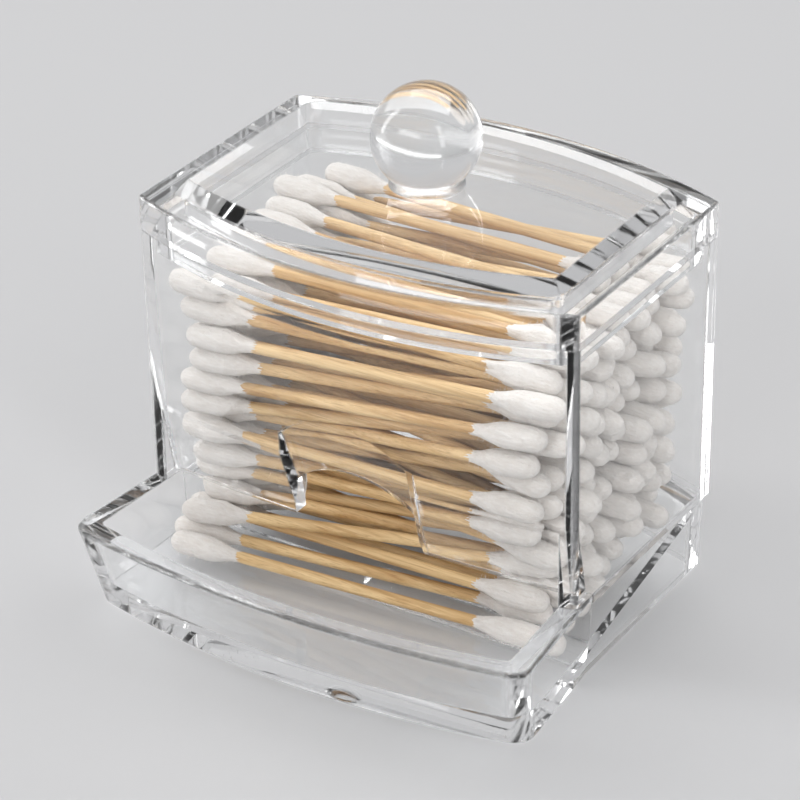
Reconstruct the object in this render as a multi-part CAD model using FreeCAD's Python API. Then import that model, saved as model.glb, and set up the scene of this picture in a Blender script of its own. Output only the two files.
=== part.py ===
import FreeCAD, Part
import math
import os
import random

from FreeCAD import Vector

# Cotton swab dispenser of clear acrylic. Four upright walls stand on a flared tray, and a lid
# with a ball knob plugs into their mouth. The front and the back wall bow outwards. Low down
# the front wall turns inwards and ends above the tray, so that swabs roll out under it down a
# ramp, and a finger scoop reaches in through its middle. Wooden cotton swabs fill the case.
#
# Millimetres, +Z up, front towards -Y. While it is being drawn, y = 0 is the plane through the
# two front corners of the case. Everything is then moved so that the origin is the middle of
# the underside of the whole product.

# ---- Case: the four upright walls -------------------------------------------------------------
WALL = 3.1
SWAB_LENGTH = 75.0
SWAB_SIDE_ROOM = 3.4         # from the tip of a swab to the side wall next to it
CASE_DEPTH = 48.9            # from a front corner to the back corner behind it
CASE_TOP = 66.7
BOW = 9.06                   # how far the front and back walls bulge past their corners
CASE_CORNER_RADIUS = 1.2
SEAT_GAP = 0.05              # left between two pieces that rest on each other
LEAN_DROP = 0.7              # the front wall leans inwards from this far below the lid's plug
BEND_RISE = 13.8             # it turns inwards more steeply this far above its lower edge
BEND_BOW = 3.9               # and bulges this much there
LIP_RISE = 1.0               # its lower edge is this far above the tray's rim
LIP_SET_BACK = 2.4           # and this far behind the corners
LIP_BOW = 1.8

# ---- Finger scoop in the front wall -----------------------------------------------------------
SCOOP_WIDTH = 26.2           # where the sides meet the arch
SCOOP_FOOT_WIDTH = 26.8
SCOOP_SPRING_RISE = 19.0     # heights above the lower edge of the front wall
SCOOP_TOP_RISE = 24.7
SCOOP_EDGE_MID_RISE = 13.4   # lower edge of the scoop's panel, in the middle
SCOOP_EDGE_END_RISE = 7.9    # and where it meets the sides
SCOOP_EDGE_WIDTH = 24.0
SCOOP_SLOPE = 0.339          # how far the panel runs back for each millimetre down
SCOOP_MEAN_SLOPE = 0.235     # the same for the wall round the scoop
SCOOP_SIDE_DRAFT = 0.75      # how far the sides close in for each millimetre of depth
SCOOP_SKIN = 2.4

# ---- Tray and base ----------------------------------------------------------------------------
SEAM_DROP = 1.8              # the case stands on the base this far below the tray's rim
SEAM_LEDGE = 0.8             # the base is this much smaller than the case all round
BASE_DRAFT = 0.5             # and this much smaller again at the floor
BASE_INNER_STEP = 0.5        # the base's inner faces stand this far inside the case's
RIM_HEIGHT = 16.8
RIM_BACK_Y = 6.0             # the raised rim ends here, under the side walls
RIM_EDGE_RADIUS = 0.8
TRAY_TOP_OVERHANG = 2.7      # beyond the case, on each side
TRAY_TOP_CORNER_Y = -21.95
TRAY_TOP_BOW = 4.8
TRAY_FOOT_OVERHANG = 0.8
TRAY_FOOT_CORNER_Y = -17.6
TRAY_FOOT_BOW = 5.6
TRAY_CORNER_RADIUS = 3.7
TRAY_SIDE_WALL = 4.6         # the tray's walls beside and in front of its pocket
TRAY_FRONT_WALL = 3.2
TRAY_POCKET_RADIUS = 1.2
FLOOR_HEIGHT = 5.0
RAMP_START_Y = 6.0
RAMP_SLOPE = 0.2237
RAMP_SHELF_DROP = 0.4        # the ramp levels out this far below the seam
RAMP_SKIN = 3.2
HOLLOW_WALL = 3.0
HOLLOW_START_Y = 3.0
HOLLOW_CORNER_RADIUS = 3.0
GATE_Y = 9.0                 # moulding mark in the roof of the hollow
GATE_RADIUS = 3.4
GATE_DEPTH = 1.1

# ---- Lid and knob -----------------------------------------------------------------------------
LID_HEIGHT = 6.5
LID_PANEL_RISE = 2.7
LID_BORDER = 5.2             # flat border round the raised panel
LID_BEVEL = 2.2              # width of the slope up to the panel
LID_EDGE_RADIUS = 0.7
PLUG_DEPTH = 4.0
PLUG_CLEARANCE = 0.35
PLUG_WALL = 2.75
PLUG_HOLLOW_RADIUS = 3.0     # upright corners of the hollow in the plug
LID_ROOF = 3.0
KNOB_RADIUS = 9.72
KNOB_CENTRE_RISE = 8.8       # centre of the ball above the raised panel
KNOB_FOOT_RADIUS = 6.7
KNOB_FOOT_HEIGHT = 1.9

# ---- Cotton swabs -----------------------------------------------------------------------------
STICK_DIAMETER = 2.2
BUD_DIAMETER = 4.7
BUD_LENGTH = 14.5
BUD_NOSE = 2.4               # rounded end of a bud
BUD_FULL_END = 8.5           # the bud starts to taper this far from its tip
BUD_CAP = 1.2                # cotton in front of the end of the stick
SWAB_SHIFT = 2.8             # a swab lies up to this far to the left or right of the middle
PILE_TOP_CLEARANCE = 1.0     # between the top of the pile and the plug of the lid
PILE_SLACK = 3.0             # height left free over the top row before the pile settles
ROW_NESTING = 0.6            # a row is laid this far into the row below it
PLACE_GAP = 0.6              # between the buds of a row before the pile settles
TOE_FRONT_Y = -4.0           # the swab farthest out on the tray reaches here at its left end
TOE_SKEW = 5.0               # and lies this much farther back at its right end
TOE_SLOPE = 0.8              # how the toe of the pile leans back as it rises
CONTACT_GAP = 0.08           # left between swabs that lie on each other
PILE_SEED = 9
ROW_TURN = 4.0               # each end of a row starts up to this far forwards or back
MOST_TURN = 12.0             # one end of a swab lies at most this far behind the other
MOST_TILT = 10.0             # and this far above it
LOOSE = 3.0                  # and each end of a swab up to this far from its place

CASE_WIDTH = SWAB_LENGTH + 2 * (SWAB_SIDE_ROOM + WALL)
INNER_HALF = CASE_WIDTH / 2 - WALL
MIDDLE_Y = CASE_DEPTH / 2
LID_BOTTOM = CASE_TOP + SEAT_GAP
LID_TOP = LID_BOTTOM + LID_HEIGHT
PANEL_TOP = LID_TOP + LID_PANEL_RISE
PLUG_BOTTOM = LID_BOTTOM - PLUG_DEPTH
LEAN_TOP = PLUG_BOTTOM - LEAN_DROP
LIP_HEIGHT = RIM_HEIGHT + LIP_RISE
BEND_HEIGHT = LIP_HEIGHT + BEND_RISE
SEAM_HEIGHT = RIM_HEIGHT - SEAM_DROP
RAMP_SHELF_HEIGHT = SEAM_HEIGHT - RAMP_SHELF_DROP
SCOOP_SPRING_HEIGHT = LIP_HEIGHT + SCOOP_SPRING_RISE
SCOOP_TOP_HEIGHT = LIP_HEIGHT + SCOOP_TOP_RISE
SCOOP_LOW = LIP_HEIGHT - WALL        # cuts for the scoop start below the wall
LEAN_SHARE = (SCOOP_TOP_HEIGHT - BEND_HEIGHT) / (LEAN_TOP - BEND_HEIGHT)
SCOOP_TOP_Y = -(BEND_BOW + (BOW - BEND_BOW) * LEAN_SHARE)    # on the face of the wall
BACK_Y = CASE_DEPTH + BOW
FAR = 200.0


# ---- Drawing helpers --------------------------------------------------------------------------

def bowed_y(x, inset, bow=BOW, set_back=0.0):
    """y at x of a bowed line across the case: its ends at set_back, then moved inwards by inset."""
    radius = ((CASE_WIDTH / 2) ** 2 + bow ** 2) / (2 * bow)
    return set_back + radius - bow - math.sqrt((radius - inset) ** 2 - x * x)


def loop_face(edges):
    return Part.Face(Part.Wire(edges))


def arc(start, middle, end):
    return Part.Arc(start, middle, end).toShape()


def bowed_face(inset, z, front_bow=BOW):
    """Plan of the case, moved inwards by inset."""
    half = CASE_WIDTH / 2 - inset
    front = bowed_y(half, inset, front_bow)
    back = CASE_DEPTH - bowed_y(half, inset)
    front_left, front_right = Vector(-half, front, z), Vector(half, front, z)
    back_left, back_right = Vector(-half, back, z), Vector(half, back, z)
    return loop_face([
        arc(front_left, Vector(0, inset - front_bow, z), front_right),
        Part.makeLine(front_right, back_right),
        arc(back_right, Vector(0, BACK_Y - inset, z), back_left),
        Part.makeLine(back_left, front_left)])


def tray_face(half_front, corner_y, bow, half_back, back_y, z):
    """Plan of the tray: a bowed front, and sides that run back to back_y."""
    front_left, front_right = Vector(-half_front, corner_y, z), Vector(half_front, corner_y, z)
    back_left, back_right = Vector(-half_back, back_y, z), Vector(half_back, back_y, z)
    return loop_face([
        arc(front_left, Vector(0, corner_y - bow, z), front_right),
        Part.makeLine(front_right, back_right),
        Part.makeLine(back_right, back_left),
        Part.makeLine(back_left, front_left)])


def upright_edges(solid, y_limit=FAR):
    """The edges of a prism that stand upright, in front of y_limit."""
    found = []
    for edge in solid.Edges:
        low, high = edge.Vertexes[0].Point, edge.Vertexes[-1].Point
        upright = abs(low.x - high.x) < 1e-6 and abs(low.y - high.y) < 1e-6
        if upright and abs(low.z - high.z) > 1e-6 and low.y < y_limit:
            found.append(edge)
    return found


def prism(face, height, corner_radius=0.0, y_limit=FAR):
    solid = face.extrude(Vector(0, 0, height))
    if corner_radius > 0:
        solid = solid.makeFillet(corner_radius, upright_edges(solid, y_limit))
    return solid


def rounded_wire(face, corner_radius, y_limit=FAR):
    """Outline of the face with its upright corners rounded, in its own plane."""
    block = prism(face, 1.0, corner_radius, y_limit)
    level = face.BoundBox.ZMin
    for side in block.Faces:
        if side.BoundBox.ZMax < level + 1e-4:
            return side.OuterWire
    raise ValueError("no bottom face")


def loft(lower_wire, upper_wire):
    return Part.makeLoft([lower_wire, upper_wire], True, True)


def side_profile(points):
    """A solid right across the product, from its outline in the YZ plane."""
    corners = [Vector(-FAR / 2, y, z) for y, z in points]
    return Part.Face(Part.makePolygon(corners + corners[:1])).extrude(Vector(FAR, 0, 0))


def box_between(low, high):
    size = Vector(*high) - Vector(*low)
    return Part.makeBox(size.x, size.y, size.z, Vector(*low))


# ---- Case -------------------------------------------------------------------------------------

def case_block(inset, corner_radius):
    """The case as one block, moved inwards by inset: its front leans in below the lid's plug."""
    low = prism(bowed_face(inset, SEAM_HEIGHT, BEND_BOW), BEND_HEIGHT - SEAM_HEIGHT, corner_radius)
    high = prism(bowed_face(inset, LEAN_TOP), CASE_TOP - LEAN_TOP, corner_radius)
    bend = rounded_wire(bowed_face(inset, BEND_HEIGHT, BEND_BOW), corner_radius)
    top = rounded_wire(bowed_face(inset, LEAN_TOP), corner_radius)
    return low.fuse([loft(bend, top), high])


def apron_wire(z, inset, bow, set_back):
    """A bowed line between the side walls at height z, and a straight one behind it."""
    half = INNER_HALF + WALL / 4
    end = bowed_y(half, inset, bow, set_back)
    left, right = Vector(-half, end, z), Vector(half, end, z)
    back_left, back_right = Vector(-half, MIDDLE_Y, z), Vector(half, MIDDLE_Y, z)
    return Part.Wire([
        arc(left, Vector(0, set_back - bow + inset, z), right),
        Part.makeLine(right, back_right),
        Part.makeLine(back_right, back_left),
        Part.makeLine(back_left, left)])


def behind_apron(inset):
    """Everything behind the front wall's face, below the bend: inset 0 is its outer face."""
    return loft(apron_wire(LIP_HEIGHT, inset, LIP_BOW, LIP_SET_BACK),
                apron_wire(BEND_HEIGHT, inset, BEND_BOW, 0.0))


def scoop_wire(grow, offset):
    """The scoop's outline, grown by grow, in a plane that leans like the wall, moved back."""
    half = SCOOP_WIDTH / 2 + grow - offset * SCOOP_SIDE_DRAFT
    foot = SCOOP_FOOT_WIDTH / 2 + grow - offset * SCOOP_SIDE_DRAFT

    def at(x, z):
        return Vector(x, SCOOP_TOP_Y + offset + (SCOOP_TOP_HEIGHT - z) * SCOOP_MEAN_SLOPE, z)
    top = at(0, SCOOP_TOP_HEIGHT + grow - offset * SCOOP_SIDE_DRAFT)
    return Part.Wire([
        Part.makeLine(at(foot, SCOOP_LOW), at(half, SCOOP_SPRING_HEIGHT)),
        arc(at(half, SCOOP_SPRING_HEIGHT), top, at(-half, SCOOP_SPRING_HEIGHT)),
        Part.makeLine(at(-half, SCOOP_SPRING_HEIGHT), at(-foot, SCOOP_LOW)),
        Part.makeLine(at(-foot, SCOOP_LOW), at(foot, SCOOP_LOW))])


def scoop_space(grow):
    """The scoop's outline as a space that narrows towards the back, as its sides do."""
    reach = 2 * WALL
    return loft(scoop_wire(grow, -reach), scoop_wire(grow, reach))


def before_panel(offset):
    """The space in front of the scoop's sloping panel, moved back by offset."""
    def panel_y(z):
        return SCOOP_TOP_Y + offset + (SCOOP_TOP_HEIGHT - z) * SCOOP_SLOPE
    high = CASE_TOP
    return side_profile([(-FAR / 2, 0), (panel_y(0), 0), (panel_y(high), high), (-FAR / 2, high)])


def scoop_mouth():
    """The open part of the scoop, below the panel's arched lower edge."""
    y = -FAR / 2
    half, edge_end = SCOOP_EDGE_WIDTH / 2, LIP_HEIGHT + SCOOP_EDGE_END_RISE
    low_half = SCOOP_FOOT_WIDTH / 2
    left, right = Vector(-half, y, edge_end), Vector(half, y, edge_end)
    low_left, low_right = Vector(-low_half, y, LIP_HEIGHT), Vector(low_half, y, LIP_HEIGHT)
    return loop_face([
        arc(left, Vector(0, y, LIP_HEIGHT + SCOOP_EDGE_MID_RISE), right),
        Part.makeLine(right, low_right),
        Part.makeLine(low_right, low_left),
        Part.makeLine(low_left, left)]).extrude(Vector(0, FAR / 2 + MIDDLE_Y, 0))


def dispenser_case():
    block, inside = case_block(0, CASE_CORNER_RADIUS), case_block(WALL, 0)
    walls = block.cut(inside)
    walls = walls.cut(box_between((-INNER_HALF, -FAR, 0), (INNER_HALF, MIDDLE_Y, BEND_HEIGHT)))
    over_rim = (FAR, RIM_BACK_Y + SEAT_GAP, RIM_HEIGHT + SEAT_GAP)
    walls = walls.cut(box_between((-FAR, -FAR, 0), over_rim))
    apron = behind_apron(0).cut(behind_apron(WALL))
    above_bend = box_between((-INNER_HALF, -FAR, BEND_HEIGHT), (INNER_HALF, MIDDLE_Y, CASE_TOP))
    envelope = block.common(above_bend).fuse(behind_apron(0))
    skin = scoop_space(SCOOP_SKIN).common(before_panel(SCOOP_SKIN)).common(envelope)
    case = walls.fuse([apron, skin])
    case = case.cut(scoop_space(0).common(before_panel(0)))
    return case.cut(scoop_mouth()).removeSplitter()


# ---- Base and tray ----------------------------------------------------------------------------

def ramp_space(drop):
    """The space above the floor and the ramp, both lowered by drop."""
    shelf_y = RAMP_START_Y + (RAMP_SHELF_HEIGHT - FLOOR_HEIGHT) / RAMP_SLOPE
    return side_profile([
        (-FAR / 2, FLOOR_HEIGHT - drop), (RAMP_START_Y, FLOOR_HEIGHT - drop),
        (shelf_y, RAMP_SHELF_HEIGHT - drop), (FAR / 2, RAMP_SHELF_HEIGHT - drop),
        (FAR / 2, FAR), (-FAR / 2, FAR)])


def tray_outline(z, share, side_wall, front_wall, half_back, back_y, radius):
    """Plan of the tray at height z, share of the way up its flare, moved inwards by its walls."""
    overhang = TRAY_FOOT_OVERHANG + (TRAY_TOP_OVERHANG - TRAY_FOOT_OVERHANG) * share
    corner = TRAY_FOOT_CORNER_Y + (TRAY_TOP_CORNER_Y - TRAY_FOOT_CORNER_Y) * share
    bow = TRAY_FOOT_BOW + (TRAY_TOP_BOW - TRAY_FOOT_BOW) * share
    half_front = CASE_WIDTH / 2 + overhang - side_wall
    face = tray_face(half_front, corner + front_wall, bow, half_back, back_y, z)
    return rounded_wire(face, radius, 0)


def tray_block():
    foot_back = CASE_WIDTH / 2 - SEAM_LEDGE - BASE_DRAFT
    block = loft(tray_outline(0, 0, 0, 0, foot_back, RIM_BACK_Y, TRAY_CORNER_RADIUS),
                 tray_outline(RIM_HEIGHT, 1, 0, 0, CASE_WIDTH / 2, RIM_BACK_Y, TRAY_CORNER_RADIUS))
    rim = [edge for edge in block.Edges
           if edge.BoundBox.ZMin > RIM_HEIGHT - 1e-4 and edge.BoundBox.YMin < RIM_BACK_Y - 1e-4]
    return block.makeFillet(RIM_EDGE_RADIUS, rim)


def tray_pocket():
    """The tray's pocket: it flares as the tray does, from its floor to the rim."""
    def at(z):
        return tray_outline(z, z / RIM_HEIGHT, TRAY_SIDE_WALL, TRAY_FRONT_WALL,
                            INNER_HALF - BASE_INNER_STEP, RIM_BACK_Y + 2, TRAY_POCKET_RADIUS)
    return loft(at(FLOOR_HEIGHT), at(RIM_HEIGHT))


def hollow_under_ramp():
    """Wedge-shaped hollow under the ramp, open underneath."""
    inset = SEAM_LEDGE + BASE_DRAFT + HOLLOW_WALL
    plan = prism(bowed_face(inset, -1), RAMP_SHELF_HEIGHT + 1, HOLLOW_CORNER_RADIUS)
    below = plan.cut(ramp_space(RAMP_SKIN))
    below = below.cut(box_between((-FAR, -FAR, -2), (FAR, HOLLOW_START_Y, RAMP_SHELF_HEIGHT)))
    return below.fuse(gate_mark())


def gate_mark():
    """Shallow round dimple in the roof of the hollow, where the plastic was let in."""
    roof = FLOOR_HEIGHT - RAMP_SKIN + (GATE_Y - RAMP_START_Y) * RAMP_SLOPE
    ball_radius = (GATE_RADIUS ** 2 + GATE_DEPTH ** 2) / (2 * GATE_DEPTH)
    centre = Vector(0, GATE_Y, roof + GATE_DEPTH - ball_radius)
    ball = Part.makeSphere(ball_radius, centre)
    return ball.common(box_between((-FAR, 0, roof - GATE_DEPTH), (FAR, FAR / 2, FAR)))


def tray_base():
    lower = bowed_face(SEAM_LEDGE + BASE_DRAFT, 0)
    upper = bowed_face(SEAM_LEDGE, SEAM_HEIGHT - SEAT_GAP)
    body = loft(rounded_wire(lower, CASE_CORNER_RADIUS), rounded_wire(upper, CASE_CORNER_RADIUS))
    pocket = prism(bowed_face(WALL + BASE_INNER_STEP, 0), FAR / 2)
    pocket = pocket.cut(box_between((-FAR, -FAR, -1), (FAR, RIM_BACK_Y, FAR)))
    pocket = pocket.common(ramp_space(0))
    base = body.fuse(tray_block())
    base = base.cut(tray_pocket()).cut(pocket)
    return base.cut(hollow_under_ramp()).removeSplitter()


# ---- Lid and knob -----------------------------------------------------------------------------

def lid():
    plate = prism(bowed_face(0, LID_BOTTOM), LID_HEIGHT, CASE_CORNER_RADIUS)
    rim = [edge for edge in plate.Edges if edge.BoundBox.ZMin > LID_TOP - 1e-4]
    plate = plate.makeFillet(LID_EDGE_RADIUS, rim)
    foot = bowed_face(LID_BORDER, LID_TOP).OuterWire
    panel = loft(foot, bowed_face(LID_BORDER + LID_BEVEL, PANEL_TOP).OuterWire)
    plug_inset = WALL + PLUG_CLEARANCE
    plug = prism(bowed_face(plug_inset, PLUG_BOTTOM), PLUG_DEPTH, CASE_CORNER_RADIUS)
    hollow_face = bowed_face(plug_inset + PLUG_WALL, PLUG_BOTTOM)
    hollow = prism(hollow_face, PANEL_TOP - LID_ROOF - PLUG_BOTTOM, PLUG_HOLLOW_RADIUS)
    return plate.fuse([panel, plug]).cut(hollow).removeSplitter()


def lid_knob():
    seat = PANEL_TOP + SEAT_GAP
    ball = Part.makeSphere(KNOB_RADIUS, Vector(0, MIDDLE_Y, seat + KNOB_CENTRE_RISE))
    ball = ball.cut(box_between((-FAR, -FAR, 0), (FAR, FAR, seat)))
    foot = Part.makeCylinder(KNOB_FOOT_RADIUS, KNOB_FOOT_HEIGHT, Vector(0, MIDDLE_Y, seat))
    return ball.fuse(foot).removeSplitter()


# ---- Cotton swabs -----------------------------------------------------------------------------

STICK_RADIUS = STICK_DIAMETER / 2
BUD_RADIUS = BUD_DIAMETER / 2
NECK_RADIUS = STICK_RADIUS + 0.12
BUD_MIDDLE_X = SWAB_LENGTH / 2 - BUD_LENGTH / 2      # where the ends of a swab are followed
BUD_STATIONS = (BUD_NOSE * 0.4, BUD_NOSE, BUD_FULL_END, BUD_LENGTH)      # from a tip
SCOOP_REACH = SCOOP_FOOT_WIDTH / 2 + SCOOP_SKIN
SCOOP_STATIONS = (-SCOOP_REACH, -SCOOP_REACH / 2, 0.0, SCOOP_REACH / 2, SCOOP_REACH)
NEAR = BUD_DIAMETER * 1.5
FALL_STEP = 0.02
FALL_SWEEPS = 700
REST_SWEEPS = 1600
REST_ERROR = CONTACT_GAP / 4


def share_at(x):
    return (x + BUD_MIDDLE_X) / (2 * BUD_MIDDLE_X)


def bud_places(shift):
    """Where a swab's outline bends, along X."""
    return [shift + side * (SWAB_LENGTH / 2 - from_tip) for side in (-1, 1) for from_tip in BUD_STATIONS]


def swab_radius(x, shift):
    """Radius of a swab where it crosses x: 0 past its tips."""
    from_tip = SWAB_LENGTH / 2 - abs(x - shift)
    if from_tip < 0:
        return 0.0
    if from_tip < BUD_NOSE:
        return BUD_RADIUS * math.sqrt(1 - (1 - from_tip / BUD_NOSE) ** 2)
    if from_tip < BUD_FULL_END:
        return BUD_RADIUS
    if from_tip < BUD_LENGTH:
        share = (from_tip - BUD_FULL_END) / (BUD_LENGTH - BUD_FULL_END)
        return BUD_RADIUS + (NECK_RADIUS - BUD_RADIUS) * share
    return STICK_RADIUS


def floor_z(y):
    return FLOOR_HEIGHT + max(0.0, y - RAMP_START_Y) * RAMP_SLOPE


def lip_y(x):
    """Inner face of the front wall's lower edge."""
    return bowed_y(x, WALL, LIP_BOW, LIP_SET_BACK)


def front_lines(x, radius):
    """A round section on the plane x is clear of the front wall where y > start - slope * z."""
    top, bend, lip = bowed_y(x, WALL), bowed_y(x, WALL, BEND_BOW), lip_y(x)
    swing = bowed_y(x + 0.5, WALL) - bowed_y(x - 0.5, WALL)
    lines = [(top + radius * math.hypot(1, swing), 0.0)]
    for high_y, high_z, low_y, low_z in ((top, LEAN_TOP, bend, BEND_HEIGHT),
                                         (bend, BEND_HEIGHT, lip, LIP_HEIGHT)):
        slope = (low_y - high_y) / (high_z - low_z)
        lines.append((low_y + slope * low_z + radius * math.hypot(1, swing, slope), slope))
    if abs(x) <= SCOOP_REACH:
        panel = SCOOP_TOP_Y + SCOOP_SKIN + SCOOP_TOP_HEIGHT * SCOOP_SLOPE
        lines.append((panel + radius * math.hypot(1, SCOOP_SLOPE), SCOOP_SLOPE))
    return lines


def section(x, radius):
    """A swab where it crosses the plane x: what the walls there leave it."""
    reach = radius + CONTACT_GAP
    swing = bowed_y(x + 0.5, WALL) - bowed_y(x - 0.5, WALL)
    back = CASE_DEPTH - bowed_y(x, WALL) - reach * math.hypot(1, swing)
    return share_at(x), reach, front_lines(x, reach), lip_y(x), back


def push_off_walls(place, y, z):
    """How far a section at (y, z) must move to be clear of the walls."""
    share, reach, lines, lip, back = place
    move_y, move_z = 0.0, 0.0
    if z >= LIP_HEIGHT:
        move_y = max(0.0, max(start - slope * z for start, slope in lines) - y)
    else:
        toe = TOE_FRONT_Y + TOE_SKEW * share + (z - FLOOR_HEIGHT - BUD_RADIUS) * TOE_SLOPE
        if y < toe:
            move_y = toe - y
        away = math.hypot(y - lip, z - LIP_HEIGHT)
        if 0 < away < reach:
            move_y += (y - lip) * (reach - away) / away
            move_z += (z - LIP_HEIGHT) * (reach - away) / away
    if y > back:
        move_y = back - y
    ground = floor_z(y) + reach * math.hypot(1, RAMP_SLOPE)
    if z < ground:
        move_z = ground - z
    ceiling = PLUG_BOTTOM - PILE_TOP_CLEARANCE - reach
    if z > ceiling:
        move_z = ceiling - z
    return move_y, move_z


def shift_swab(swab, share, move_y, move_z):
    """Move a swab so that its section at this share of its length moves that far."""
    weight = 1 / ((1 - share) ** 2 + share ** 2)
    swab[0] += move_y * weight * (1 - share)
    swab[1] += move_z * weight * (1 - share)
    swab[2] += move_y * weight * share
    swab[3] += move_z * weight * share


def first_rows():
    """Rows of swabs above the ramp, before they settle: [left y, left z, right y, right z, shift]."""
    chance = random.Random(PILE_SEED)
    lines = front_lines(BUD_MIDDLE_X, BUD_RADIUS)
    back = CASE_DEPTH - bowed_y(BUD_MIDDLE_X, WALL) - BUD_RADIUS
    ceiling = PLUG_BOTTOM - PILE_TOP_CLEARANCE - BUD_RADIUS
    place_pitch = BUD_DIAMETER + PLACE_GAP
    rows = []
    height = FLOOR_HEIGHT + BUD_RADIUS
    while height + (floor_z(back) - FLOOR_HEIGHT) / 2 + PILE_SLACK < ceiling:
        front = max(start - slope * height for start, slope in lines)
        if height < LIP_HEIGHT - BUD_RADIUS:
            front = TOE_FRONT_Y + TOE_SKEW / 2 + (height - FLOOR_HEIGHT - BUD_RADIUS) * TOE_SLOPE
        front += (len(rows) % 2) * place_pitch / 2
        turn = chance.uniform(-ROW_TURN, ROW_TURN)
        row = []
        for place in range(int((back - front) / place_pitch) + 1):
            y = front + place * place_pitch
            z = height + floor_z(y) - FLOOR_HEIGHT
            row.append([y - turn + chance.uniform(-LOOSE, LOOSE), z + chance.uniform(-LOOSE, LOOSE),
                        y + turn + chance.uniform(-LOOSE, LOOSE), z + chance.uniform(-LOOSE, LOOSE),
                        chance.uniform(-SWAB_SHIFT, SWAB_SHIFT)])
        rows.append(row)
        height += BUD_DIAMETER - ROW_NESTING
    return rows


def crossing_share(a, b):
    """Where along their length two swabs pass closest to each other, between their buds."""
    dy, dz = b[0] - a[0], b[1] - a[1]
    turn_y, turn_z = b[2] - a[2] - dy, b[3] - a[3] - dz
    turn = turn_y * turn_y + turn_z * turn_z
    if turn < 1e-9:
        return 0.5
    return min(0.85, max(0.15, -(dy * turn_y + dz * turn_z) / turn))


def apart_squared(a, b, share):
    dy = (b[0] - a[0]) * (1 - share) + (b[2] - a[2]) * share
    dz = (b[1] - a[1]) * (1 - share) + (b[3] - a[3]) * share
    return dy * dy + dz * dz


def near_pairs(swabs):
    """Pairs of swabs close enough to touch, with how far apart they must be at each station."""
    pairs = []
    for number, a in enumerate(swabs):
        for b in swabs[number + 1:]:
            shares = (0.0, 1.0, crossing_share(a, b))
            if min(apart_squared(a, b, share) for share in shares) > NEAR ** 2:
                continue
            needs = []
            for x in bud_places(a[4]) + bud_places(b[4]):
                own, other = swab_radius(x, a[4]), swab_radius(x, b[4])
                if own > 0 and other > 0:
                    needs.append((share_at(x), own + other + CONTACT_GAP))
            pairs.append((a, b, needs))
    return pairs


def part_pair(a, b, needs):
    """Push two swabs apart where they overlap. Returns the deepest overlap met."""
    worst = 0.0
    crossing = (crossing_share(a, b), STICK_DIAMETER + CONTACT_GAP)
    for share, need in needs + [crossing]:
        dy = (b[0] - a[0]) * (1 - share) + (b[2] - a[2]) * share
        dz = (b[1] - a[1]) * (1 - share) + (b[3] - a[3]) * share
        apart = math.sqrt(dy * dy + dz * dz)
        if apart < need:
            worst = max(worst, need - apart)
            push = (need - apart) / (2 * apart)
            shift_swab(a, share, -dy * push, -dz * push)
            shift_swab(b, share, dy * push, dz * push)
    return worst


def seat_on_walls(swab, places):
    worst = 0.0
    for place in places:
        share = place[0]
        y = swab[0] * (1 - share) + swab[2] * share
        z = swab[1] * (1 - share) + swab[3] * share
        move_y, move_z = push_off_walls(place, y, z)
        if move_y != 0 or move_z != 0:
            worst = max(worst, abs(move_y), abs(move_z))
            shift_swab(swab, share, move_y, move_z)
    return worst


def straighten(swab):
    """Keep a swab from turning farther than the pile around it would let it."""
    for left, right, most in ((0, 2, MOST_TURN), (1, 3, MOST_TILT)):
        extra = abs(swab[right] - swab[left]) - most
        if extra > 0:
            half = math.copysign(extra / 2, swab[right] - swab[left])
            swab[left] += half
            swab[right] -= half


def settled_rows():
    """The rows of swabs after they have slid down and come to rest on each other."""
    rows = first_rows()
    swabs = [swab for row in rows for swab in row]
    places = [[section(x, swab_radius(x, swab[4])) for x in bud_places(swab[4]) + list(SCOOP_STATIONS)]
              for swab in swabs]
    pairs = []
    for sweep in range(FALL_SWEEPS + REST_SWEEPS):
        if sweep % 15 == 0:
            pairs = near_pairs(swabs)
        if sweep < FALL_SWEEPS:
            fall = FALL_STEP * (1 - sweep / FALL_SWEEPS)
            for swab in swabs:
                swab[1] -= fall
                swab[3] -= fall
        worst = 0.0
        for a, b, needs in pairs:
            worst = max(worst, part_pair(a, b, needs))
        for swab, own_places in zip(swabs, places):
            straighten(swab)
            worst = max(worst, seat_on_walls(swab, own_places))
        if sweep > FALL_SWEEPS and worst < REST_ERROR:
            break
    print("pile of", len(swabs), "swabs settled after", sweep, "sweeps, overlap left", round(worst, 4))
    return rows


def stick():
    """A stick along X, about the middle of its swab."""
    length = SWAB_LENGTH - 2 * BUD_CAP
    return Part.makeCylinder(STICK_RADIUS, length, Vector(-length / 2, 0, 0), Vector(1, 0, 0))


def bud():
    """The bud at the right-hand end of a swab, with a blind bore for its stick."""
    tip = SWAB_LENGTH / 2

    def at(from_tip, radius):
        return Vector(tip - from_tip, 0, radius)
    nose_slant = math.sqrt(0.5)
    outline = Part.Face(Part.Wire([
        arc(at(0, 0), at(BUD_NOSE * (1 - nose_slant), BUD_RADIUS * nose_slant), at(BUD_NOSE, BUD_RADIUS)),
        Part.makeLine(at(BUD_NOSE, BUD_RADIUS), at(BUD_FULL_END, BUD_RADIUS)),
        Part.makeLine(at(BUD_FULL_END, BUD_RADIUS), at(BUD_LENGTH, NECK_RADIUS)),
        Part.makeLine(at(BUD_LENGTH, NECK_RADIUS), at(BUD_LENGTH, STICK_RADIUS)),
        Part.makeLine(at(BUD_LENGTH, STICK_RADIUS), at(BUD_CAP, STICK_RADIUS)),
        Part.makeLine(at(BUD_CAP, STICK_RADIUS), at(BUD_CAP, 0)),
        Part.makeLine(at(BUD_CAP, 0), at(0, 0))]))
    return outline.revolve(Vector(0, 0, 0), Vector(1, 0, 0), 360)


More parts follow.
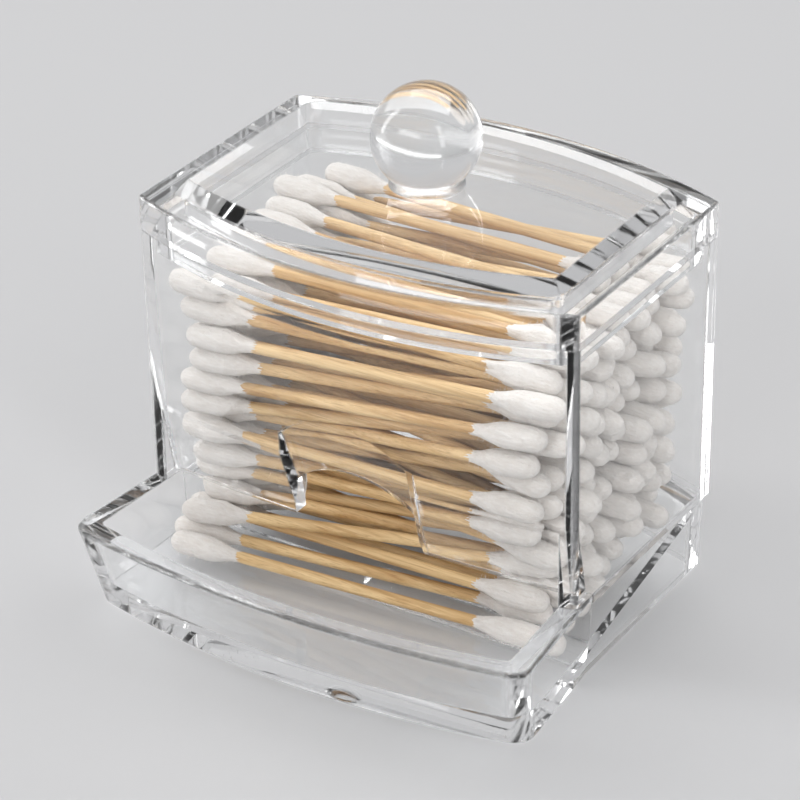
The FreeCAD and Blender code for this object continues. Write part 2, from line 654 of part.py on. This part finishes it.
def laid(shape, swab):
    """A copy of a shape of the model swab, laid where this swab lies."""
    left_y, left_z, right_y, right_z, shift = swab
    along = Vector(2 * BUD_MIDDLE_X, right_y - left_y, right_z - left_z)
    turn = FreeCAD.Rotation(Vector(1, 0, 0), along)
    middle = Vector(0, (left_y + right_y) / 2, (left_z + right_z) / 2)
    along.normalize()
    copy = shape.copy()
    copy.Placement = FreeCAD.Placement(middle + along * shift, turn)
    return copy


def swab_nodes():
    """Two nodes for each row of swabs: its sticks, and its buds."""
    model_stick, right_bud = stick(), bud()
    left_bud = right_bud.mirror(Vector(0, 0, 0), Vector(1, 0, 0))
    nodes = {}
    for number, row in enumerate(settled_rows(), 1):
        sticks = [laid(model_stick, swab) for swab in row]
        buds = [laid(end, swab) for swab in row for end in (left_bud, right_bud)]
        nodes["row_%02d_sticks" % number] = Part.makeCompound(sticks)
        nodes["row_%02d_buds" % number] = Part.makeCompound(buds)
    return nodes


# ---- Everything -------------------------------------------------------------------------------

def main():
    nodes = {
        "tray_base": tray_base(),
        "dispenser_case": dispenser_case(),
        "lid": lid(),
        "lid_knob": lid_knob()}
    nodes.update(swab_nodes())
    front_y = nodes["tray_base"].optimalBoundingBox().YMin
    to_origin = Vector(0, -(front_y + BACK_Y) / 2, 0)
    os.makedirs("parts", exist_ok=True)
    for name, shape in nodes.items():
        shape.translate(to_origin)
        shape.exportStep("parts/%s.step" % name)
        print(name, shape.isValid(), len(shape.Solids), round(shape.Volume, 1))


main()
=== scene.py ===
"""Looks of a clear acrylic cotton swab dispenser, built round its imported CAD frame."""

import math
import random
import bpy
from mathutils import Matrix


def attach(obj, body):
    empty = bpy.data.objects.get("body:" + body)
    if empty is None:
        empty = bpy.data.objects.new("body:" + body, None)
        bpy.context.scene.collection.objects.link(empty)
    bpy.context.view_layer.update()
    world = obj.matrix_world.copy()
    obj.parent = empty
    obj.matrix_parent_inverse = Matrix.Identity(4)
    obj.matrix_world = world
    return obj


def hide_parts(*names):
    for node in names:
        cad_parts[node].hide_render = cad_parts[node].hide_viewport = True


bl_info = {
    "name": "Cotton Swab Dispenser",
    "version": (1, 0, 0),
    "blender": (4, 5, 0),
    "location": "View3D > Sidebar > Swabs",
    "description": "Finishes the acrylic mouldings, winds the cotton swabs and lights the stage",
    "category": "Object",
}

import bmesh
import bpy
from bpy.props import FloatProperty, FloatVectorProperty, IntProperty, PointerProperty
from mathutils import Euler, Matrix, Vector, noise

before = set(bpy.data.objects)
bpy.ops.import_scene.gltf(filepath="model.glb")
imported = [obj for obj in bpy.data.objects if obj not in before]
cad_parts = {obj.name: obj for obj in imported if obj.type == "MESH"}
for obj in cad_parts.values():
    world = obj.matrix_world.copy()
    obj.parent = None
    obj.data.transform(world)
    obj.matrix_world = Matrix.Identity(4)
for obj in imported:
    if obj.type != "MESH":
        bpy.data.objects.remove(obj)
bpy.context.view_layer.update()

HOLDER = "holder"
MOULDINGS = ("tray_base", "dispenser_case", "lid", "lid_knob")
STICK_NODES = sorted(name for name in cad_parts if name.endswith("_sticks"))
MM = 0.001


# ---- Shader maths -----------------------------------------------------------------------------

EVEN = (1, 1, 1)                                 # a texture with no stretch along any axis
MIX_SHARE, MIX_FIRST, MIX_SECOND = 0, 6, 7       # inputs of a Mix node set to colours
MIX_COLOUR = 2                                   # its output


class Value:
    """A socket that can be used in sums: each operator adds its Math node."""

    def __init__(self, graph, socket):
        self.graph = graph
        self.socket = socket

    def maths(self, operation, first, second):
        return self.graph.node("ShaderNodeMath", {"operation": operation}, {0: first, 1: second})

    def __add__(self, other):
        return self.maths("ADD", self, other)

    def __radd__(self, other):
        return self.maths("ADD", other, self)

    def __sub__(self, other):
        return self.maths("SUBTRACT", self, other)

    def __rsub__(self, other):
        return self.maths("SUBTRACT", other, self)

    def __mul__(self, other):
        return self.maths("MULTIPLY", self, other)

    def __rmul__(self, other):
        return self.maths("MULTIPLY", other, self)


class Graph:
    """The nodes of one new material, or of the world."""

    def __init__(self, name, owners=None):
        self.owner = (bpy.data.materials if owners is None else owners).new(name)
        self.owner.use_nodes = True
        self.tree = self.owner.node_tree
        self.tree.nodes.clear()

    def node(self, kind, settings=None, sockets=None, output=0):
        """Add a node: settings are set first, then the values or links of its sockets."""
        new = self.tree.nodes.new(kind)
        for key, setting in (settings or {}).items():
            if key == "stops":
                self.set_stops(new.color_ramp, setting)
            else:
                setattr(new, key, setting)
        for key, value in (sockets or {}).items():
            if isinstance(value, Value):
                self.tree.links.new(value.socket, new.inputs[key])
            else:
                new.inputs[key].default_value = value
        return Value(self, new.outputs[output]) if new.outputs else new

    def set_stops(self, ramp, stops):
        """Give a ramp its stops, each a place from 0 to 1 and a colour."""
        while len(ramp.elements) < len(stops):
            ramp.elements.new(0.5)
        for element, (place, colour) in zip(ramp.elements, stops):
            element.position = place
            element.color = colour

    def noise(self, scale, size, detail, roughness=0.5):
        """Noise from 0 to 1. size scales each axis of the object's own coordinates."""
        place = self.node("ShaderNodeTexCoord", output="Object")
        sized = self.node("ShaderNodeMapping", {}, {"Vector": place, "Scale": size})
        return self.node("ShaderNodeTexNoise", {}, {
            "Vector": sized, "Scale": scale, "Detail": detail, "Roughness": roughness})

    def ramp(self, share, *stops):
        return self.node("ShaderNodeValToRGB", {"stops": stops}, {"Fac": share})

    def mix(self, share, first, second, blend="MIX"):
        return self.node("ShaderNodeMix", {"data_type": "RGBA", "blend_type": blend},
                         {MIX_SHARE: share, MIX_FIRST: first, MIX_SECOND: second},
                         output=MIX_COLOUR)

    def mix_surfaces(self, share, first, second):
        return self.node("ShaderNodeMixShader", {}, {0: share, 1: first, 2: second})

    def bump(self, height, distance, **normal):
        return self.node("ShaderNodeBump", {}, {
            "Height": height, "Distance": distance, **normal})

    def finish(self, surface, output="ShaderNodeOutputMaterial"):
        self.node(output, {}, {"Surface": surface})
        return self.owner


def dimmed(colour, red, green, blue):
    """A darker tone of a colour: a share is kept of each channel."""
    return (colour[0] * red, colour[1] * green, colour[2] * blue, 1)


# ---- Settings ---------------------------------------------------------------------------------

class AcrylicSettings(bpy.types.PropertyGroup):
    tint: FloatVectorProperty(
        name="Tint", description="Colour that the clear acrylic lets through",
        subtype="COLOR", size=4, default=(0.993, 0.997, 0.998, 1), min=0, max=1)
    ior: FloatProperty(
        name="IOR", description="How strongly the acrylic bends light", default=1.49)
    polish: FloatProperty(
        name="Polish", description="Roughness of a freshly moulded face", default=0.006)
    handling: FloatProperty(
        name="Handling", description="Roughness added where it was touched", default=0.018)
    edge: FloatProperty(
        name="Edge", description="Radius to which the sharp edges are flame polished",
        subtype="DISTANCE", default=0.45 * MM)
    ripple: FloatProperty(
        name="Ripple", description="Height of the flow ripples left by moulding",
        subtype="DISTANCE", default=0.004 * MM)
    ripple_size: FloatProperty(
        name="Ripple size", description="Ripples in each metre", default=70.0)


class SwabSettings(bpy.types.PropertyGroup):
    stick_radius: FloatProperty(
        name="Stick radius", description="Radius of a wooden stick",
        subtype="DISTANCE", default=1.1 * MM)
    bud_radius: FloatProperty(
        name="Bud radius", description="Radius of a cotton bud",
        subtype="DISTANCE", default=2.35 * MM)
    bud_length: FloatProperty(
        name="Bud length", description="From its tip to its thin end",
        subtype="DISTANCE", default=14.5 * MM)
    bud_cap: FloatProperty(
        name="Bud cap", description="Cotton in front of the end of the stick",
        subtype="DISTANCE", default=1.2 * MM)
    lump: FloatProperty(
        name="Lumps", description="How far the winding swells and sinks",
        subtype="DISTANCE", default=0.11 * MM)
    fibres: IntProperty(
        name="Fibres", description="Loose fibres on each bud", default=230)
    fibre_length: FloatProperty(
        name="Fibre length", description="Length of a loose fibre",
        subtype="DISTANCE", default=1.3 * MM)
    feather: FloatProperty(
        name="Feather", description="How unevenly the cotton ends on the stick",
        subtype="DISTANCE", default=1.0 * MM)
    cotton: FloatVectorProperty(
        name="Cotton", description="Colour of the cotton",
        subtype="COLOR", size=4, default=(0.92, 0.885, 0.85, 1), min=0, max=1)
    wood_pale: FloatVectorProperty(
        name="Pale wood", description="Lightest colour of the sticks",
        subtype="COLOR", size=4, default=(0.82, 0.59, 0.31, 1), min=0, max=1)
    wood_dark: FloatVectorProperty(
        name="Dark wood", description="Darkest colour of the sticks",
        subtype="COLOR", size=4, default=(0.52, 0.30, 0.115, 1), min=0, max=1)
    seed: IntProperty(
        name="Seed", description="Start of the chance used for lumps and fibres", default=5)


class StageSettings(bpy.types.PropertyGroup):
    floor: FloatVectorProperty(
        name="Floor", description="Colour of the floor",
        subtype="COLOR", size=4, default=(0.60, 0.60, 0.61, 1), min=0, max=1)
    walls: FloatVectorProperty(
        name="Walls", description="Light from the walls of the studio",
        subtype="COLOR", size=4, default=(0.34, 0.34, 0.34, 1), min=0, max=1)
    ceiling: FloatVectorProperty(
        name="Ceiling", description="Light from the ceiling of the studio",
        subtype="COLOR", size=4, default=(0.56, 0.56, 0.56, 1), min=0, max=1)
    backdrop: FloatVectorProperty(
        name="Backdrop", description="Colour of the paper behind the floor",
        subtype="COLOR", size=4, default=(0.56, 0.56, 0.57, 1), min=0, max=1)
    azimuth: FloatProperty(
        name="Azimuth", description="Direction the camera looks, from +Y",
        subtype="ANGLE", default=math.radians(32.96))
    elevation: FloatProperty(
        name="Elevation", description="Height of the camera over the horizon",
        subtype="ANGLE", default=math.radians(29.66))
    roll: FloatProperty(
        name="Roll", description="Lean of the camera",
        subtype="ANGLE", default=math.radians(-1.11))
    distance: FloatProperty(
        name="Distance", description="From the camera to what it looks at",
        subtype="DISTANCE", default=0.567)
    aim: FloatVectorProperty(
        name="Aim", description="Point that the camera looks at",
        subtype="XYZ", size=3, default=(0.002, -0.0042, 0.040))
    lens: FloatProperty(
        name="Lens", description="Focal length in millimetres", default=146.5)
    bounces: IntProperty(
        name="Bounces", description="Faces of acrylic that a ray of light can cross", default=18)


# ---- Acrylic mouldings ------------------------------------------------------------------------

def acrylic_material(settings):
    """Clear acrylic with flow ripples, handled patches and softened edges.

    Shadow rays go straight through, so that the lamps reach what is behind a wall.
    """
    graph = Graph("clear_acrylic")
    handled = graph.noise(scale=35.0, size=EVEN, detail=4.0, roughness=0.6)
    roughness = settings.polish + handled * handled * settings.handling
    flow = graph.noise(scale=settings.ripple_size, size=(1, 1, 0.45), detail=1.0)
    soft_edge = graph.node("ShaderNodeBevel", {"samples": 2}, {"Radius": settings.edge})
    acrylic = graph.node("ShaderNodeBsdfPrincipled", {}, {
        "Base Color": settings.tint, "Roughness": roughness, "IOR": settings.ior,
        "Transmission Weight": 1.0,
        "Normal": graph.bump(flow, settings.ripple, Normal=soft_edge)})
    lamp_ray = graph.node("ShaderNodeLightPath", output="Is Shadow Ray")
    see_through = graph.node("ShaderNodeBsdfTransparent", {}, {"Color": settings.tint})
    return graph.finish(graph.mix_surfaces(lamp_ray, acrylic, see_through))


def dress(node, material):
    """Give a CAD node its material."""
    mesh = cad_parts[node].data
    mesh.materials.clear()
    mesh.materials.append(material)


class SWABS_OT_mouldings(bpy.types.Operator):
    """Give the base, the case, the lid and the knob their clear acrylic"""
    bl_idname = "swabs.mouldings"
    bl_label = "Mouldings"

    def execute(self, context):
        material = acrylic_material(context.scene.swab_acrylic)
        for node in MOULDINGS:
            dress(node, material)
        return {"FINISHED"}


# ---- Rounds along a line ----------------------------------------------------------------------

def islands(mesh):
    """The loose parts of a bmesh, each a list of vertices in the mesh's own order."""
    mesh.verts.index_update()
    waiting = set(mesh.verts)
    while waiting:
        island, reached = [], [waiting.pop()]
        while reached:
            vert = reached.pop()
            island.append(vert)
            for edge in vert.link_edges:
                other = edge.other_vert(vert)
                if other in waiting:
                    waiting.remove(other)
                    reached.append(other)
        yield sorted(island, key=lambda vert: vert.index)


def stick_axes(node):
    """Both ends of the middle line of each stick in a CAD node."""
    work = bmesh.new()
    work.from_mesh(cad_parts[node].data)
    bmesh.ops.remove_doubles(work, verts=work.verts, dist=MM / 1000)
    axes = []
    for island in islands(work):
        middle = sum(vert.co.x for vert in island) / len(island)
        left = [vert.co for vert in island if vert.co.x < middle]
        right = [vert.co for vert in island if vert.co.x > middle]
        axes.append((sum(left, Vector()) / len(left), sum(right, Vector()) / len(right)))
    work.free()
    return sorted(axes, key=lambda axis: tuple(axis[0]))


def ring_basis(along):
    """Two directions across a line."""
    side = along.cross(Vector((0, 0, 1))).normalized()
    return side, along.cross(side).normalized()


def add_rings(points, faces, rings):
    """Skin a row of rings, each with the same number of points, and close both ends."""
    start = len(points)
    around = len(rings[0])
    for ring in rings:
        points.extend(ring)
    for number in range(len(rings) - 1):
        base = start + number * around
        for step in range(around):
            after = (step + 1) % around
            faces.append((base + step, base + after,
                          base + around + after, base + around + step))
    faces.append(tuple(start + around - 1 - step for step in range(around)))
    last = start + (len(rings) - 1) * around
    faces.append(tuple(last + step for step in range(around)))


def new_piece(name, points, faces, material, replaced):
    """Make a mesh that rides on the holder and stands for a CAD node."""
    mesh = bpy.data.meshes.new(name)
    mesh.from_pydata([tuple(point) for point in points], [], faces)
    mesh.validate()
    for polygon in mesh.polygons:
        polygon.use_smooth = len(polygon.vertices) <= 4      # the caps of the rings stay flat
    mesh.materials.append(material)
    piece = bpy.data.objects.new(name, mesh)
    bpy.context.scene.collection.objects.link(piece)
    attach(piece, HOLDER)
    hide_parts(replaced)


# ---- Wooden sticks ----------------------------------------------------------------------------

STICK_SIDES = 14
STICK_STEPS = 6
STICK_THINNING = 0.02            # most that its radius shrinks here and there, as a share
STICK_OVAL = 0.015               # how far it is from round, as a share of its radius
SLOW_GRAIN = 0.02                # how far the noise is stretched along a stick (X)
FINE_GRAIN = 0.018
PORE_GRAIN = 0.03


def stick_rings(left, right, radius, chance):
    """A turned birch stick: not quite round, and a hair thinner here and there."""
    side, up = ring_basis((right - left).normalized())
    lobes = chance.uniform(0, math.tau)
    rings = []
    for step in range(STICK_STEPS + 1):
        centre = left.lerp(right, step / STICK_STEPS)
        here = radius * (1 - STICK_THINNING * chance.random())
        ring = []
        for turn in range(STICK_SIDES):
            angle = math.tau * turn / STICK_SIDES
            reach = here * (1 - STICK_OVAL * math.cos(2 * angle + lobes))
            ring.append(centre + (side * math.cos(angle) + up * math.sin(angle)) * reach)
        rings.append(ring)
    return rings


def wood_material(settings):
    """Birch: a tone for each stick, fine grain along it and dark pores."""
    graph = Graph("birch")
    stick_tone = graph.noise(scale=240.0, size=(SLOW_GRAIN, 1, 1), detail=1.0)
    grain = graph.noise(scale=1500.0, size=(FINE_GRAIN, 1, 1), detail=4.0, roughness=0.65)
    pores = graph.noise(scale=4200.0, size=(PORE_GRAIN, 1, 1), detail=2.0)
    tone = graph.ramp(stick_tone * 0.55 + grain * 0.45,
                      (0.38, settings.wood_dark), (0.58, settings.wood_pale))
    streak = graph.ramp(pores, (0.30, (0.60, 0.50, 0.42, 1)), (0.46, (1, 1, 1, 1)))
    wood = graph.node("ShaderNodeBsdfPrincipled", {}, {
        "Base Color": graph.mix(0.6, tone, streak, "MULTIPLY"),
        "Roughness": 0.45 + grain * 0.2,
        "Normal": graph.bump(grain + pores * 0.5, 0.06 * MM)})
    return graph.finish(wood)


class SWABS_OT_sticks(bpy.types.Operator):
    """Make the wooden sticks, a piece for each row"""
    bl_idname = "swabs.sticks"
    bl_label = "Sticks"

    def execute(self, context):
        settings = context.scene.swab_swabs
        material = wood_material(settings)
        for number, node in enumerate(STICK_NODES):
            chance = random.Random(settings.seed + number)
            points, faces = [], []
            for left, right in stick_axes(node):
                add_rings(points, faces, stick_rings(left, right, settings.stick_radius, chance))
            new_piece("wooden_" + node, points, faces, material, node)
        return {"FINISHED"}


# ---- Cotton buds ------------------------------------------------------------------------------
# A place along a bud is a share of its length: 0 at its tip and 1 at its thin end.

BUD_SIDES = 26
BUD_STEPS = 30
BUD_FIRST_RING = 0.004
BUD_CROWDING = 1.35              # above 1, the rings crowd towards the tip
BUD_NOSE = 0.19                  # where the rounded tip ends
BUD_SHOULDER = 0.96              # radius there, as a share of the full radius
BUD_RISE = 0.04                  # from there to the full radius
BUD_RISE_LENGTH = 0.2
BUD_FALL = 0.50                  # where the bud starts to thin towards the stick
THIN_END_SUNK = 0.04 * MM        # how deep the thin end goes into the stick

RAGGED_FROM = 0.6                # where the ragged end starts to show
RAGGED_NOISE = 1.5
LUMPS_AROUND = 2.2
LUMPS_ALONG = 6
LUMP_LAYERS = ((1, 1), (0.6, 2.7), (0.35, 6.0))      # height and fineness of each
LUMP_SUNK = 0.6                  # keeps the swells within the bud's radius
LUMPS_START = 0.08               # the lumps fade out before the tip and the thin end
LUMPS_END = 1.02
LUMPS_END_FADE = 0.3
WIND_TURNS = 60                  # radians of winding on a bud
WIND_WANDER = 3
WIND_NOISE = 0.7
WIND_HEIGHT = 0.22

FIBRE_HALF_WIDTH = 0.024         # these three are in millimetres
FIBRE_LIFT = 0.04
FIBRE_SUNK = 0.05
FIBRE_KNEE = 0.55                # where a fibre bends, as a share of its length
FIBRE_THINNING = 0.8             # width there, as a share of that at its root

NOISE_SPAN = 50                  # each bud takes its lumps from its own place in the noise
BUD_SEED_STEP = 100


def bud_profile(share, thin):
    """Radius of a bud, as a share of its full radius. thin is that of its thin end."""
    if share < BUD_NOSE:
        return math.sqrt(max(0.0, 1 - (1 - share / BUD_NOSE) ** 2)) * BUD_SHOULDER
    risen = min(1.0, (share - BUD_NOSE) / BUD_RISE_LENGTH)
    belly = BUD_SHOULDER + BUD_RISE * math.sin(risen * math.pi / 2)
    if share < BUD_FALL:
        return belly
    fall = (share - BUD_FALL) / (1 - BUD_FALL)
    return thin + (belly - thin) * (1 + math.cos(fall * math.pi)) / 2


class Bud:
    """The wound surface of one bud. offset is its own place in the noise."""

    def __init__(self, end, other, settings, offset):
        self.settings = settings
        self.offset = offset
        self.along = (other - end).normalized()
        self.side, self.up = ring_basis(self.along)
        self.tip = end - self.along * settings.bud_cap
        self.thin = (settings.stick_radius - THIN_END_SUNK) / settings.bud_radius

    def out(self, angle):
        """Direction away from the bud's middle line."""
        return self.side * math.cos(angle) + self.up * math.sin(angle)

    def point(self, share, angle):
        """A point on the surface, with its lumps, its winding and its ragged end."""
        direction = self.out(angle)
        radius = self.settings.bud_radius * bud_profile(share, self.thin)
        ragged = noise.noise(direction * RAGGED_NOISE + self.offset) * self.settings.feather
        ragged = ragged * max(0.0, share - RAGGED_FROM) / (1 - RAGGED_FROM)
        centre = self.tip + self.along * (share * self.settings.bud_length + ragged)
        place = direction * LUMPS_AROUND + self.along * share * LUMPS_ALONG + self.offset
        swell = sum(high * noise.noise(place * fine) for high, fine in LUMP_LAYERS)
        wander = WIND_WANDER * noise.noise(place * WIND_NOISE)
        wind = math.sin(share * WIND_TURNS + angle + wander) * WIND_HEIGHT
        fade = min(1.0, share / LUMPS_START) * min(1.0, (LUMPS_END - share) / LUMPS_END_FADE)
        lump = self.settings.lump * (swell + wind - LUMP_SUNK) * fade
        return centre + direction * (radius + lump)

    def rings(self):
        rings = []
        for step in range(BUD_STEPS + 1):
            crowded = (step / BUD_STEPS) ** BUD_CROWDING
            share = BUD_FIRST_RING + (1 - BUD_FIRST_RING) * crowded
            rings.append([self.point(share, math.tau * turn / BUD_SIDES)
                          for turn in range(BUD_SIDES)])
        return rings

    def add_fibres(self, points, faces, chance):
        """Loose fibres that lift off the bud: thin bent slivers."""
        for _ in range(self.settings.fibres):
            share = chance.uniform(0.03, 0.95)
            angle = chance.uniform(0, math.tau)
            root = self.point(share, angle)
            out = self.out(angle)
            lean = (out * chance.uniform(0.2, 0.9)
                    + self.along.cross(out) * chance.uniform(-1, 1)
                    + self.along * chance.uniform(-0.35, 0.35)).normalized()
            length = self.settings.fibre_length * chance.uniform(0.4, 1.0)
            width = lean.cross(out).normalized() * FIBRE_HALF_WIDTH * MM
            sunk = out * FIBRE_SUNK * MM
            knee = root + lean * length * FIBRE_KNEE + out * FIBRE_LIFT * MM
            start = len(points)
            points.extend([root - width - sunk, root + width - sunk,
                           knee + width * FIBRE_THINNING, knee - width * FIBRE_THINNING,
                           root + lean * length - sunk])
            faces.append((start, start + 1, start + 2, start + 3))
            faces.append((start + 3, start + 2, start + 4))


def cotton_material(settings):
    """Cotton: winding that shows as streaks along the bud, with fluff and soft patches. The grooves
    of the winding are painted darker as shade, and the patches are random tone.
    """
    graph = Graph("wound_cotton")
    fluff = graph.noise(scale=1300.0, size=EVEN, detail=4.0, roughness=0.75)
    winding = graph.noise(scale=2000.0, size=(0.20, 1, 1), detail=4.0, roughness=0.7)
    patch = graph.noise(scale=260.0, size=EVEN, detail=2.0)
    # painted shade: where the winding sinks in its bump, the colour turns to this darker tone as
    # shade in the grooves; the patch noise adds random tone
    painted_groove_shade = dimmed(settings.cotton, 0.82, 0.78, 0.75)
    cotton = graph.node("ShaderNodeBsdfPrincipled", {}, {
        "Base Color": graph.mix(patch * 0.5 + winding * 1.9 - 0.55, painted_groove_shade, settings.cotton),
        "Roughness": 0.85 + fluff * 0.12, "Sheen Weight": 0.45, "Sheen Roughness": 0.5,
        "Normal": graph.bump(fluff * 0.6 + winding, 0.45 * MM)})
    return graph.finish(cotton)


class SWABS_OT_buds(bpy.types.Operator):
    """Wind the cotton buds and their loose fibres, a piece for each row"""
    bl_idname = "swabs.buds"
    bl_label = "Buds"

    def execute(self, context):
        settings = context.scene.swab_swabs
        material = cotton_material(settings)
        for number, node in enumerate(STICK_NODES):
            chance = random.Random(settings.seed * BUD_SEED_STEP + number)
            points, faces = [], []
            for left, right in stick_axes(node):
                for end, other in ((left, right), (right, left)):
                    offset = Vector([chance.uniform(0, NOISE_SPAN) for _ in range(3)])
                    bud = Bud(end, other, settings, offset)
                    add_rings(points, faces, bud.rings())
                    bud.add_fibres(points, faces, chance)
            bud_node = node.replace("_sticks", "_buds")
            new_piece("cotton_" + bud_node, points, faces, material, bud_node)
        return {"FINISHED"}


# ---- Stage ------------------------------------------------------------------------------------

FLOOR_REACH = 4.0
FLOOR_BELOW = 0.3 * MM           # keeps it clear of the underside
FADE_START = 0.35                # how far from the middle the floor turns into the backdrop
FADE_END = 0.95
SENSOR_WIDTH = 36.0
HORIZON, MIDDLE, OVERHEAD = 0.0, 0.25, 0.75      # heights on the studio's walls

LAMPS = (    # name, place, target, width, height, power
    ("lamp_top", (-0.15, 0.50, 0.85), (0, 0, 0.04), 1.0, 0.40, 4.1),
    ("lamp_left", (-0.75, -0.25, 0.40), (0, 0, 0.05), 0.14, 0.70, 1.9),
    ("lamp_right", (0.75, -0.35, 0.40), (0, 0, 0.05), 0.14, 0.70, 1.6),
    ("lamp_front", (-0.10, -0.95, 0.55), (0, 0, 0.04), 0.90, 0.16, 2.0),
)


def seen_rays(graph):
    """1 on what the camera sees directly or through acrylic, and 0 for light and reflections."""
    return (graph.node("ShaderNodeLightPath", output="Is Camera Ray")
            + graph.node("ShaderNodeLightPath", output="Is Transmission Ray"))


def floor_material(settings):
    """Matt paper that fades into the backdrop well away from the dispenser."""
    graph = Graph("floor_paper")
    mottle = graph.noise(scale=6.0, size=EVEN, detail=2.0)
    dark = dimmed(settings.floor, 0.98, 0.98, 0.98)
    paper = graph.node("ShaderNodeBsdfPrincipled", {}, {
        "Base Color": graph.mix(mottle, dark, settings.floor), "Roughness": 0.6})
    place = graph.node("ShaderNodeTexCoord", output="Object")
    away = graph.node("ShaderNodeVectorMath", {"operation": "LENGTH"}, {0: place},
                      output="Value")
    fade = graph.node("ShaderNodeMapRange", {"interpolation_type": "SMOOTHSTEP"},
                      {"Value": away, "From Min": FADE_START, "From Max": FADE_END})
    sweep = graph.node("ShaderNodeEmission", {}, {"Color": settings.backdrop})
    material = graph.finish(graph.mix_surfaces(fade * seen_rays(graph), paper, sweep))
    material.cycles.emission_sampling = "NONE"       # it is seen, and lights nothing
    return material


def add_floor(settings):
    mesh = bpy.data.meshes.new("floor")
    corners = ((-1, -1), (1, -1), (1, 1), (-1, 1))
    mesh.from_pydata([(x * FLOOR_REACH, y * FLOOR_REACH, -FLOOR_BELOW) for x, y in corners],
                     [], [(0, 1, 2, 3)])
    mesh.materials.append(floor_material(settings))
    floor = bpy.data.objects.new("floor", mesh)
    bpy.context.scene.collection.objects.link(floor)


def add_softbox(name, place, target, width, height, power):
    """Hang a rectangular lamp that faces its target."""
    lamp = bpy.data.lights.new(name, "AREA")
    lamp.shape = "RECTANGLE"
    lamp.size = width
    lamp.size_y = height
    lamp.energy = power
    box = bpy.data.objects.new(name, lamp)
    box.location = place
    box.rotation_euler = (Vector(target) - Vector(place)).to_track_quat("-Z", "Y").to_euler()
    bpy.context.scene.collection.objects.link(box)


def add_world(scene, settings):
    """A studio that is brighter overhead than at its walls, behind a pale backdrop."""
    graph = Graph("studio", bpy.data.worlds)
    direction = graph.node("ShaderNodeTexCoord", output="Generated")
    height = graph.node("ShaderNodeSeparateXYZ", {}, {"Vector": direction}, output="Z")
    glow = graph.ramp(height, (HORIZON, settings.walls), (MIDDLE, settings.walls),
                      (OVERHEAD, settings.ceiling))
    light = graph.node("ShaderNodeBackground", {}, {
        "Color": graph.mix(seen_rays(graph), glow, settings.backdrop)})
    scene.world = graph.finish(light, "ShaderNodeOutputWorld")


def add_camera(scene, settings):
    lens = bpy.data.cameras.new("camera")
    lens.lens = settings.lens
    lens.sensor_width = SENSOR_WIDTH
    camera = bpy.data.objects.new("camera", lens)
    tilt = math.pi / 2 - settings.elevation
    turn = Euler((tilt, 0, settings.azimuth)).to_matrix().to_4x4()
    turn = turn @ Matrix.Rotation(settings.roll, 4, "Z")
    back = turn.to_3x3() @ Vector((0, 0, 1))
    camera.matrix_world = Matrix.Translation(Vector(settings.aim) + back * settings.distance) @ turn
    scene.collection.objects.link(camera)
    scene.camera = camera


class SWABS_OT_stage(bpy.types.Operator):
    """Lay the floor, hang the lamps and place the camera"""
    bl_idname = "swabs.stage"
    bl_label = "Stage"

    def execute(self, context):
        scene = context.scene
        settings = scene.swab_stage
        scene.view_settings.view_transform = "Standard"
        scene.cycles.max_bounces = settings.bounces
        scene.cycles.transmission_bounces = settings.bounces
        scene.cycles.glossy_bounces = settings.bounces
        scene.cycles.transparent_max_bounces = settings.bounces
        add_floor(settings)
        for lamp in LAMPS:
            add_softbox(*lamp)
        add_world(scene, settings)
        add_camera(scene, settings)
        return {"FINISHED"}


# ---- Panel and registration -------------------------------------------------------------------

SETTINGS = {"swab_acrylic": AcrylicSettings, "swab_swabs": SwabSettings,
            "swab_stage": StageSettings}
OPERATORS = (SWABS_OT_mouldings, SWABS_OT_sticks, SWABS_OT_buds, SWABS_OT_stage)


class SWABS_PT_panel(bpy.types.Panel):
    """Sizes, colours and build steps of the dispenser"""
    bl_idname = "SWABS_PT_panel"
    bl_label = "Cotton Swab Dispenser"
    bl_space_type = "VIEW_3D"
    bl_region_type = "UI"
    bl_category = "Swabs"

    def draw(self, context):
        for holder in SETTINGS:
            group = getattr(context.scene, holder)
            box = self.layout.box()
            for name in group.__annotations__:
                box.prop(group, name)
        for operator in OPERATORS:
            self.layout.operator(operator.bl_idname)


CLASSES = tuple(SETTINGS.values()) + OPERATORS + (SWABS_PT_panel,)


def register():
    for item in CLASSES:
        bpy.utils.register_class(item)
    for holder, group in SETTINGS.items():
        setattr(bpy.types.Scene, holder, PointerProperty(type=group))


def unregister():
    for holder in SETTINGS:
        delattr(bpy.types.Scene, holder)
    for item in reversed(CLASSES):
        bpy.utils.unregister_class(item)


def main():
    register()
    bpy.ops.swabs.mouldings()
    bpy.ops.swabs.sticks()
    bpy.ops.swabs.buds()
    bpy.ops.swabs.stage()


if __name__ == "__main__":
    main()
